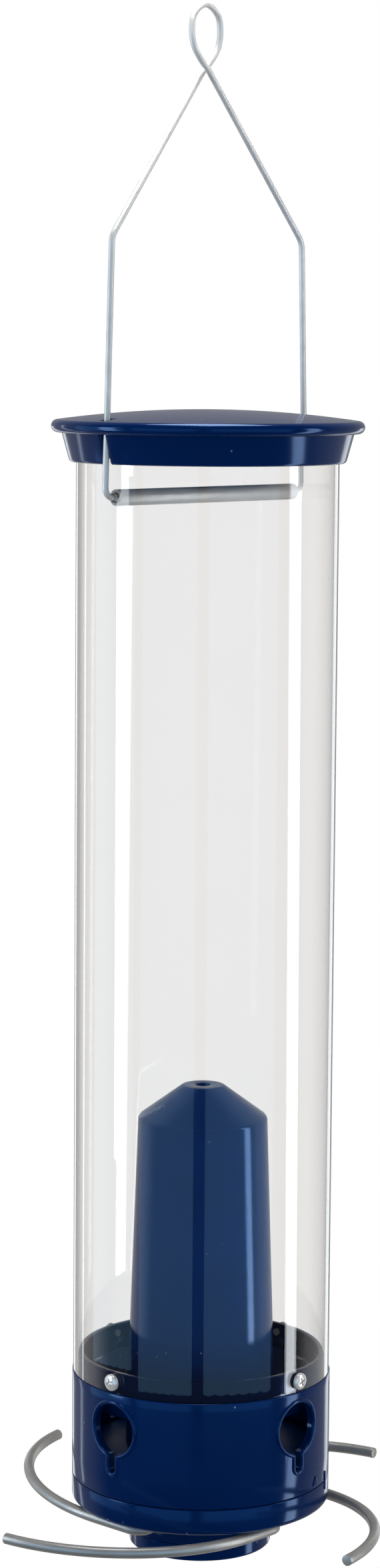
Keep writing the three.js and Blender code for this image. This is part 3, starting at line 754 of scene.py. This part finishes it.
class FEEDER_OT_cap(bpy.types.Operator):
    """Model the domed cap with its rolled rim and slots for the bail"""

    bl_idname = "feeder.cap"
    bl_label = "Cap"

    def execute(self, context):
        underside = TUBE_RIM + CAP_GAP
        rim_centre = TUBE_RADIUS + CAP_OVERHANG - CAP_RIM_RADIUS
        rim_height = underside - 0.6
        foot = underside - CAP_SKIRT_DROP
        crest = rim_height + CAP_RIM_RADIUS
        outline = dome_points(CAP_SEAT, underside, 8)[::-1]
        outline += [(CAP_SEAT, underside), (64.1, underside), (60.6, foot + 4), (60.6, foot)]
        outline += [(62.1, foot), (62.9, foot + 0.4), (63.3, foot + 1.2)]
        outline += [(66.7, rim_height - CAP_RIM_RADIUS + 0.3)]
        for i in range(13):
            angle = math.radians(-90 + 15 * i)
            across = rim_centre + CAP_RIM_RADIUS * math.cos(angle)
            outline.append((across, rim_height + CAP_RIM_RADIUS * math.sin(angle)))
        outline += dome_points(rim_centre, crest, 14)[:-1] + [(0.4, crest + CAP_DOME)]
        cap = turned("cap", outline)
        for side in (-1, 1):
            reach = sorted((side * CAP_SLOT_START, side * CAP_SLOT_END))
            low = (-CAP_SLOT_HALF, reach[0], foot - 1)
            cut(cap, box(low, (CAP_SLOT_HALF, reach[1], crest + 6)))
        round_edges(cap, context.scene.feeder_shape.fine_round, 2)
        hand_over(cap, "cap_moulding", "navy", "navy_plastic", "cap", "cap")
        return {"FINISHED"}


def dome_points(radius, height, steps):
    """A shallow dome's outline from just inside its edge up to its crown."""
    shares = [1 - i / steps for i in range(1, steps + 1)]
    return [(radius * s, height + CAP_DOME * (1 - s * s)) for s in shares]


def keyhole_outline(grow):
    """The edge of a port as (across, height) points, grown outwards all round."""
    radius, half = PORT_RADIUS + grow, SLOT_HALF + grow
    meet = math.asin(half / radius)
    points = []
    for i in range(49):
        angle = -math.pi / 2 + meet + (2 * math.pi - 2 * meet) * i / 48
        points.append((radius * math.cos(angle), PORT_HEIGHT + radius * math.sin(angle)))
    foot = SLOT_FOOT + SLOT_HALF
    top = PORT_HEIGHT - radius * math.cos(meet)
    points += [(-half, top + (foot - top) * i / 8) for i in range(1, 8)]
    points += [
        (-half * math.cos(math.pi * i / 12), foot - half * math.sin(math.pi * i / 12))
        for i in range(13)
    ]
    points += [(half, foot + (top - foot) * i / 8) for i in range(1, 8)]
    return points


def keyhole_cutter():
    """A tool with the port's outline, along X."""
    tool = rod_along_x(PORT_RADIUS, 44, 66, PORT_HEIGHT, 72)
    foot = SLOT_FOOT + SLOT_HALF
    cut(tool, rod_along_x(SLOT_HALF, 44, 66, foot, 24), "UNION")
    cut(tool, box((44, -SLOT_HALF, foot), (66, SLOT_HALF, PORT_HEIGHT)), "UNION")
    return tool


class FEEDER_OT_port_ring(bpy.types.Operator):
    """Model the port ring with its collar, keyhole ports, lips and raised marks"""

    bl_idname = "feeder.port_ring"
    bl_label = "Port Ring"

    def execute(self, context):
        shape = context.scene.feeder_shape
        below_slots = SLOT_FOOT - 0.9
        outline = [
            (RING_BORE, RING_FOOT), (RING_RADIUS, RING_FOOT), (RING_RADIUS, below_slots),
            (RING_RADIUS, -4), (RING_RADIUS, 0), (COLLAR_RADIUS, 0),
            (COLLAR_RADIUS, COLLAR_TOP), (COLLAR_BORE, COLLAR_TOP), (COLLAR_BORE, COLLAR_FOOT),
            (RING_BORE, TAPER_FOOT), (RING_BORE, below_slots),
        ]
        ring = turned("ring", outline)
        round_edges(ring, shape.edge_round)
        tool = keyhole_cutter()
        beads = []
        bead = shape.lip_round / MM
        for port in range(PORTS):
            pick(tool)
            bpy.ops.object.duplicate()
            cut(ring, about_axis(bpy.context.object, PORT_TURN + 90 * port))
            reach = RING_RADIUS - 0.25
            edge = [
                place(reach * math.cos(u / reach), reach * math.sin(u / reach), z)
                for u, z in keyhole_outline(bead * 0.75)
            ]
            lip = wire("lip", edge, shape.lip_round, 0, closed=True)
            beads.append(about_axis(lip, PORT_TURN + 90 * port))
        bpy.data.objects.remove(tool)
        smooth(ring)
        marks = [raised_tick(RING_FOOT, TICK_TOP), raised_arrow()]
        join(ring, *beads, *marks)
        hand_over(ring, "ring_moulding", "navy", "navy_plastic", "feeder", "port_ring")
        return {"FINISHED"}


def raised_tick(bottom, top):
    """One half of the raised tick that shows where the base locks."""
    low = (RING_RADIUS - MARK_SINK, -TICK_HALF, bottom)
    tick = box(low, (RING_RADIUS + MARK_PROUD, TICK_HALF, top))
    round_edges(tick, bpy.context.scene.feeder_shape.fine_round)
    return about_axis(tick, PORT_TURN + TICK_TURN)


def raised_arrow():
    """The small raised arrow beside the tick."""
    deselect()
    bpy.ops.mesh.primitive_cylinder_add(
        vertices=3, radius=ARROW_RADIUS * MM, depth=(MARK_PROUD + MARK_SINK) * MM,
        location=(0, 0, 0),
    )
    arrow = settle(bpy.context.object, turn=(90, 0, 0))
    round_edges(arrow, bpy.context.scene.feeder_shape.fine_round)
    heights = [v.co.z for v in arrow.data.vertices]
    if sum(heights) / len(heights) > (min(heights) + max(heights)) / 2:
        settle(arrow, turn=(0, 180, 0))
    middle = RING_RADIUS + (MARK_PROUD - MARK_SINK) / 2
    settle(arrow, turn=(0, 0, 90), move=place(middle, 0, ARROW_HEIGHT))
    return about_axis(arrow, PORT_TURN + ARROW_TURN)


class FEEDER_OT_base_ring(bpy.types.Operator):
    """Model the twist-off base ring"""

    bl_idname = "feeder.base_ring"
    bl_label = "Base Ring"

    def execute(self, context):
        shape = context.scene.feeder_shape
        corner = RING_RADIUS - BASE_CORNER
        outline = [(BASE_HOLE, BASE_BOTTOM), (corner, BASE_BOTTOM)]
        for i in range(1, 9):
            angle = math.radians(-90 + 90 * i / 8)
            rise = BASE_CORNER * (1 + math.sin(angle))
            outline.append((corner + BASE_CORNER * math.cos(angle), BASE_BOTTOM + rise))
        inner, floor = SPIGOT_RADIUS - BASE_WALL, BASE_BOTTOM + BASE_FLOOR
        outline += [
            (RING_RADIUS, BASE_TOP), (SPIGOT_RADIUS, BASE_TOP), (SPIGOT_RADIUS, SPIGOT_TOP),
            (inner, SPIGOT_TOP), (inner, floor), (BASE_HOLE, floor),
        ]
        ring = turned("base", outline)
        round_edges(ring, shape.edge_round)
        join(ring, raised_tick(TICK_FOOT, BASE_TOP))
        hand_over(ring, "base_moulding", "navy", "navy_plastic", "base", "base_ring")
        return {"FINISHED"}


class FEEDER_OT_tower(bpy.types.Operator):
    """Model the seed floor and the tapered tower"""

    bl_idname = "feeder.tower"
    bl_label = "Seed Floor and Tower"

    def execute(self, context):
        shape = context.scene.feeder_shape
        floor = turned("floor", [
            (TIE_HOLE, FLOOR_FOOT), (SPIGOT_RADIUS, FLOOR_FOOT), (SPIGOT_RADIUS, FLOOR_RIM),
            (FLOOR_CROWN_RADIUS, FLOOR_CROWN), (TIE_HOLE, FLOOR_CROWN),
        ])
        round_edges(floor, shape.fine_round)
        hand_over(floor, "floor_dish", "floor", "inner_plastic", "base", "seed_floor")
        tower = turned("tower", [
            (TIE_HOLE, 123), (5.8, 123), (5.8, 132), (9.1, 132), (27.9, 119), (33.3, TOWER_FOOT),
            (35.5, TOWER_FOOT), (30.1, 119.6), (29.2, 120.9), (10.7, 134.5), (9.5, TOWER_TOP),
            (TIE_RECESS, TOWER_TOP), (TIE_RECESS, TIE_RECESS_FOOT), (TIE_HOLE, TIE_RECESS_FOOT),
        ])
        round_edges(tower, shape.edge_round, angle=20)
        hand_over(tower, "tower_moulding", "tower", "inner_plastic", "base", "seed_tower")
        return {"FINISHED"}


class FEEDER_OT_hub(bpy.types.Operator):
    """Model the hub housing and its cover"""

    bl_idname = "feeder.hub"
    bl_label = "Perch Hub"

    def execute(self, context):
        shape = context.scene.feeder_shape
        housing = turned("housing", [
            (HUB_INNER, HOUSING_FOOT), (HUB_RADIUS, HOUSING_FOOT),
            (HUB_RADIUS, HOUSING_TOP), (HUB_INNER, HOUSING_TOP),
        ])
        start, end = HUB_INNER - CUT_PAST, HUB_RADIUS + CUT_PAST
        for number, (yaw, _) in enumerate(PERCH_REST):
            hole = rod_along_x(HUB_SLOT_HALF, start, end, PERCH_AXIS, 48)
            open_top = box((start, -HUB_SLOT_HALF, PERCH_AXIS), (end, HUB_SLOT_HALF, HOUSING_TOP + 1))
            cut(hole, open_top, "UNION")
            cut(housing, about_axis(hole, PERCH_TURN - 90 * number + yaw))
        round_edges(housing, shape.fine_round)
        hand_over(housing, "hub_wall", "navy", "navy_plastic", "base", "hub_housing")
        plate = COVER_BOTTOM + COVER_PLATE
        cover = turned("cover", [
            (0, COVER_BOTTOM), (31.9, COVER_BOTTOM), (32.6, COVER_BOTTOM + 0.25),
            (33.1, COVER_BOTTOM + 0.75), (HUB_RADIUS, COVER_BOTTOM + 1.4), (HUB_RADIUS, COVER_TOP),
            (HUB_INNER, COVER_TOP), (HUB_INNER, plate), (0, plate),
        ])
        seat = COVER_BOTTOM + HUB_SCREW_DEPTH
        for x, y in boss_spots():
            recess = turned("recess", [
                (0, COVER_BOTTOM - 1), (HUB_SCREW_RECESS, COVER_BOTTOM - 1),
                (HUB_SCREW_RECESS, seat), (HUB_SCREW_HOLE, seat),
                (HUB_SCREW_HOLE, plate + 1), (0, plate + 1),
            ], sides=32, centre=place(x, y, 0))
            cut(cover, recess)
        round_edges(cover, shape.fine_round)
        use_modifier(cover, "WEIGHTED_NORMAL", keep_sharp=True)
        hand_over(cover, "hub_cup", "navy", "navy_plastic", "base", "hub_cover")
        return {"FINISHED"}


def boss_spots():
    """Where the hub's screws stand."""
    reach = HUB_INNER - BOSS_INSET
    angles = [math.radians(PERCH_TURN + 45 + 90 * i) for i in range(PORTS)]
    return [(reach * math.cos(a), reach * math.sin(a)) for a in angles]


class FEEDER_OT_perches(bpy.types.Operator):
    """Model the four bent rod perches"""

    bl_idname = "feeder.perches"
    bl_label = "Perches"

    def execute(self, context):
        shape = context.scene.feeder_shape
        outward, along = Vector((1, 0, 0)), Vector((0, -1, 0))
        bend_start = Vector((PERCH_ROOT - PERCH_BEND, 0, 0))
        straight_end = Vector((PERCH_ROOT, -PERCH_STRAIGHT, 0))
        stations = [Vector((PERCH_INNER_END, 0, 0)), bend_start]
        stations += arc(bend_start, outward, along, PERCH_BEND, 90, 12) + [straight_end]
        stations += arc(straight_end, along, -outward, PERCH_ARC_RADIUS, PERCH_ARC_DEGREES, 40)
        for number, (yaw, rise) in enumerate(PERCH_REST):
            turn = turned_by(-rise, 0, PERCH_TURN - 90 * number + yaw)
            lift = Vector((0, 0, PERCH_AXIS))
            path = [place(*(turn @ point + lift)) for point in stations]
            rod = wire(f"perch_{number + 1}", path, ROD_RADIUS * MM, shape.rod_end_round)
            hand_over(
                rod, f"perch_bar_{number + 1}", "rod", "brushed_steel",
                f"perch_{number + 1}", f"perch_rod_{number + 1}",
            )
        return {"FINISHED"}


class FEEDER_OT_tube_screws(bpy.types.Operator):
    """Model the cross-recess screws that hold the tube"""

    bl_idname = "feeder.tube_screws"
    bl_label = "Tube Screws"

    def execute(self, context):
        seat = TUBE_RADIUS + SCREW_SEAT_GAP
        brim = seat + SCREW_HEAD_DOME
        face = brim + SCREW_HEAD_DOME
        head = [(0, seat), (SCREW_HEAD_RADIUS - 0.15, seat)]
        head += [(SCREW_HEAD_RADIUS, seat + SCREW_EDGE), (SCREW_HEAD_RADIUS, brim)]
        for angle in (math.radians(a) for a in (15, 30, 45, 60, 72, 82)):
            across = SCREW_HEAD_RADIUS * math.cos(angle) ** 0.9
            head.append((across, brim + SCREW_HEAD_DOME * math.sin(angle)))
        shank = [(0, SCREW_STEM_END), (SCREW_STEM, SCREW_STEM_END)]
        shank += [(SCREW_STEM, seat + 0.5), (0, seat + 0.5)]
        for port in range(PORTS):
            screw = turned("screw", head, sides=48, centre=(0, 0, 0))
            for angle in (20, 110):
                cut(screw, cross_slot(face, angle))
            round_edges(screw, context.scene.feeder_shape.fine_round / 2, 2, 40)
            stem = turned("stem", shank, sides=24, centre=(0, 0, 0))
            smooth(stem)
            join(screw, stem)
            settle(screw, turn=(0, 90, 0), move=place(0, 0, SCREW_HEIGHT))
            about_axis(screw, PORT_TURN + 90 * port)
            hand_over(
                screw, f"screw_{port + 1}", "screw", "brushed_steel",
                "feeder", f"tube_screw_{port + 1}",
            )
        return {"FINISHED"}


def cross_slot(face, degrees):
    """One arm of the recess in a screw's head, at the origin and along Z."""
    deselect()
    bpy.ops.mesh.primitive_cube_add(
        size=1, location=(0, 0, face * MM),
        scale=(CROSS_LENGTH * MM, CROSS_WIDTH * MM, CROSS_DEPTH * MM),
    )
    return settle(bpy.context.object, turn=(0, 0, degrees))


class FEEDER_OT_frame_finishes(bpy.types.Operator):
    """Give the pieces carried over from the frame their finishes"""

    bl_idname = "feeder.frame_finishes"
    bl_label = "Carried-over Pieces"

    def execute(self, context):
        kinds = {
            "port_hood": "navy", "perch_bush": "bush", "perch_crank": "bush",
            "perch_spring": "screw", "hub_screw": "screw", "tie_rod": "screw",
        }
        for name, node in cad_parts.items():
            for kind, material in kinds.items():
                if name.startswith(kind):
                    node.data.materials.clear()
                    node.data.materials.append(finish(material))
        return {"FINISHED"}


# ---- Stage ------------------------------------------------------------------------------------

CAMERA_AZIMUTH = 44.5
CAMERA_DISTANCE = 1.6067
CAMERA_HEIGHT = 0.4776 + SEAM_Z
CAMERA_YAW = -0.2525
CAMERA_PITCH = 7.1482
CAMERA_ROLL = 0.4017
SENSOR = 36.0
FOCAL = 80.662
FLOOR_SIZE = 60
FLOOR_HEIGHT = -1.7
LID_LAMP_SIZE = 0.3
LID_LAMP_HEIGHT = 0.25
LID_LAMP_POWER = 14.0
STRIP_COLOUR = (0.90, 0.95, 1.0)
WALL_COLOUR = (0.32, 0.64, 1.0)
# name, direction from the camera's side, distance, foot, top, width, lean, radiance
STRIPS = (
    ("left_strip", -77, 1.1, -0.14, 0.75, 0.26, 0, 5.5),
    ("right_strip", 84, 1.1, -0.70, 0.75, 0.23, 8, 5.5),
    ("rim_strip", -131, 1.3, -0.60, 0.70, 0.08, 0, 2.0),
    ("back_right", 152, 1.4, -0.60, 0.40, 0.30, 0, 1.6),
    ("back_left", -160, 1.4, -0.60, 0.40, 0.20, 0, 1.4),
)
# name, start and end directions, distance, foot, top, radiance
WALLS = (
    ("far_left_wall", -112, -64, 1.9, -0.54, 1.0, 0.95),
    ("left_wall", -57, -8, 1.9, -0.56, 1.0, 0.95),
    ("right_wall", 2, 64, 1.9, -0.56, 1.0, 0.95),
)
WALL_LAMPS = 6
LIT_THROUGH_TUBE = "right_strip"
BEHIND_TUBE = 0.98
AFTER_DIFFUSE = 0.75
IN_GLOSS = 0.27
IN_GLASS = 0.5
DARK_STUDIO = 0.03


def softbox(name, azimuth, distance, low, high, width, lean, power, colour=STRIP_COLOUR):
    """A tall soft light beside the feeder, aimed at its axis."""
    data = bpy.data.lights.new(name, "AREA")
    data.shape = "RECTANGLE"
    data.size = width
    data.size_y = high - low
    data.color = colour
    data.energy = power * width * (high - low) * math.pi
    lamp = bpy.data.objects.new(name, data)
    angle = math.radians(azimuth + CAMERA_AZIMUTH)
    spot = Vector((distance * math.sin(angle), AXIS_Y - distance * math.cos(angle), (low + high) / 2))
    aim = Vector((0, AXIS_Y, (low + high) / 2)) - spot
    facing = aim.to_track_quat("-Z", "Y").to_matrix().to_4x4()
    lamp.matrix_world = Matrix.Translation(spot) @ facing @ turned_by(0, 0, lean)
    lamp.visible_camera = False
    lamp.visible_transmission = name == LIT_THROUGH_TUBE
    bpy.context.scene.collection.objects.link(lamp)
    return lamp


def wall_of_light(name, start, end, distance, low, high, power):
    """A curved wall of softboxes standing side by side."""
    share = (end - start) / WALL_LAMPS
    width = 2 * distance * math.tan(math.radians(share / 2))
    for i in range(WALL_LAMPS):
        azimuth = start + (i + 0.5) * share
        softbox(f"{name}_{i + 1}", azimuth, distance, low, high, width, 0, power, WALL_COLOUR)


def backdrop_share(tree, point):
    """One for directions behind the feeder, nought for those on the camera's side."""
    unit = tree.nodes.new("ShaderNodeVectorMath")
    unit.operation = "NORMALIZE"
    tree.links.new(point, unit.inputs[0])
    along = tree.nodes.new("ShaderNodeVectorMath")
    along.operation = "DOT_PRODUCT"
    tree.links.new(unit.outputs["Vector"], along.inputs[0])
    azimuth = math.radians(CAMERA_AZIMUTH)
    along.inputs[1].default_value = (-math.sin(azimuth), math.cos(azimuth), 0)
    return between_steps(tree, along.outputs["Value"], 0.0, 0.35)


def between_steps(tree, value, low, high):
    """Nought below low, one above high."""
    made = tree.nodes.new("ShaderNodeMapRange")
    made.inputs["From Min"].default_value = low
    made.inputs["From Max"].default_value = high
    tree.links.new(value, made.inputs["Value"])
    return made.outputs["Result"]


def seen_as(tree, point):
    """The backdrop's brightness: white to the eye, softer through the tube and in reflections."""
    path = tree.nodes.new("ShaderNodeLightPath")
    total = path.outputs["Is Camera Ray"]
    left = maths(tree, "SUBTRACT", 1.0, total)
    was_diffuse = maths(tree, "GREATER_THAN", path.outputs["Diffuse Depth"], 0.5)
    was_glossy = maths(tree, "GREATER_THAN", path.outputs["Glossy Depth"], 0.5)
    was_glass = maths(tree, "GREATER_THAN", path.outputs["Transmission Depth"], 0.5)
    total = maths(tree, "ADD", total, maths(tree, "MULTIPLY", was_diffuse, AFTER_DIFFUSE))
    left = maths(tree, "MAXIMUM", maths(tree, "SUBTRACT", left, was_diffuse), 0.0)
    mirrored = maths(tree, "MULTIPLY", left, was_glossy)
    behind = maths(tree, "ADD", IN_GLOSS, maths(tree, "MULTIPLY", was_glass, IN_GLASS - IN_GLOSS))
    behind = maths(tree, "MULTIPLY", behind, backdrop_share(tree, point))
    behind = maths(tree, "ADD", behind, DARK_STUDIO)
    total = maths(tree, "ADD", total, maths(tree, "MULTIPLY", mirrored, behind))
    left = maths(tree, "MAXIMUM", maths(tree, "SUBTRACT", left, was_glossy), 0.0)
    return maths(tree, "ADD", total, maths(tree, "MULTIPLY", left, BEHIND_TUBE))


class FEEDER_OT_stage(bpy.types.Operator):
    """Set up the floor, the soft light and the camera"""

    bl_idname = "feeder.stage"
    bl_label = "Stage"

    def execute(self, context):
        scene = context.scene
        deselect()
        pale_floor()
        scene.world = studio_world()
        for name, azimuth, distance, low, high, width, lean, power in STRIPS:
            softbox(name, azimuth, distance, SEAM_Z + low, SEAM_Z + high, width, lean, power)
        for name, start, end, distance, low, high, power in WALLS:
            wall_of_light(name, start, end, distance, SEAM_Z + low, SEAM_Z + high, power)
        above = softbox("above", 0, 0, 0, LID_LAMP_SIZE, LID_LAMP_SIZE, 0, LID_LAMP_POWER)
        above.matrix_world = Matrix.Translation((0, AXIS_Y, LID_LAMP_HEIGHT))
        scene.camera = studio_camera()
        scene.view_settings.view_transform = "Standard"
        return {"FINISHED"}


def pale_floor():
    """A plain pale floor below the feeder."""
    bpy.ops.mesh.primitive_plane_add(size=FLOOR_SIZE, location=(0, 0, FLOOR_HEIGHT))
    floor = bpy.context.object
    floor.name = "studio_floor"
    pale = bpy.data.materials.new("Pale Floor")
    pale.use_nodes = True
    tree = pale.node_tree
    tree.nodes.remove(tree.nodes["Principled BSDF"])
    glow = tree.nodes.new("ShaderNodeEmission")
    tree.links.new(seen_as(tree, object_point(tree)), glow.inputs["Strength"])
    tree.links.new(glow.outputs[0], tree.nodes["Material Output"].inputs["Surface"])
    floor.data.materials.append(pale)


def studio_world():
    """A white backdrop all round."""
    world = bpy.data.worlds.new("Studio")
    world.use_nodes = True
    tree = world.node_tree
    sky = tree.nodes.new("ShaderNodeTexCoord").outputs["Generated"]
    backdrop = tree.nodes["Background"]
    tree.links.new(seen_as(tree, sky), backdrop.inputs["Strength"])
    backdrop.inputs["Color"].default_value = (1, 1, 1, 1)
    return world


def studio_camera():
    """The camera, a little above the cap and looking down the feeder."""
    azimuth = math.radians(CAMERA_AZIMUTH)
    right = Vector((math.cos(azimuth), math.sin(azimuth), 0))
    away = Vector((-math.sin(azimuth), math.cos(azimuth), 0))
    up = Vector((0, 0, 1))
    yaw, pitch, roll = (math.radians(a) for a in (CAMERA_YAW, CAMERA_PITCH, CAMERA_ROLL))
    level = right * math.sin(yaw) + away * math.cos(yaw)
    look = level * math.cos(pitch) - up * math.sin(pitch)
    side = right * math.cos(yaw) - away * math.sin(yaw)
    head = side.cross(look)
    x_axis = side * math.cos(roll) + head * math.sin(roll)
    y_axis = head * math.cos(roll) - side * math.sin(roll)
    data = bpy.data.cameras.new("camera")
    data.sensor_fit = "VERTICAL"
    data.sensor_height = SENSOR
    data.lens = FOCAL
    camera = bpy.data.objects.new("camera", data)
    spot = Vector((0, AXIS_Y, 0)) - away * CAMERA_DISTANCE + up * CAMERA_HEIGHT
    basis = Matrix((x_axis, y_axis, -look)).transposed().to_4x4()
    camera.matrix_world = Matrix.Translation(spot) @ basis
    bpy.context.scene.collection.objects.link(camera)
    return camera


# ---- Panel and registration -------------------------------------------------------------------

PIECES = (
    FEEDER_OT_tube, FEEDER_OT_bail, FEEDER_OT_sleeve, FEEDER_OT_cap, FEEDER_OT_port_ring,
    FEEDER_OT_base_ring, FEEDER_OT_tower, FEEDER_OT_hub, FEEDER_OT_perches,
    FEEDER_OT_tube_screws, FEEDER_OT_frame_finishes, FEEDER_OT_stage,
)


class FEEDER_PT_panel(bpy.types.Panel):
    """Lists the feeder's pieces and settings"""

    bl_idname = "FEEDER_PT_panel"
    bl_label = "Bird Feeder"
    bl_space_type = "VIEW_3D"
    bl_region_type = "UI"
    bl_category = "Feeder"

    def draw(self, context):
        for settings in (context.scene.feeder_shape, context.scene.feeder_colours):
            for name in settings.__annotations__:
                self.layout.prop(settings, name)
        for piece in PIECES:
            self.layout.operator(piece.bl_idname)


CLASSES = (FeederShape, FeederColours, *PIECES, FEEDER_PT_panel)


def register():
    for cls in CLASSES:
        bpy.utils.register_class(cls)
    bpy.types.Scene.feeder_shape = bpy.props.PointerProperty(type=FeederShape)
    bpy.types.Scene.feeder_colours = bpy.props.PointerProperty(type=FeederColours)


def unregister():
    del bpy.types.Scene.feeder_shape
    del bpy.types.Scene.feeder_colours
    for cls in reversed(CLASSES):
        bpy.utils.unregister_class(cls)


def main():
    """Registers the add-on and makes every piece."""
    register()
    for piece in PIECES:
        group, name = piece.bl_idname.split(".")
        getattr(getattr(bpy.ops, group), name)()


if __name__ == "__main__":
    main()
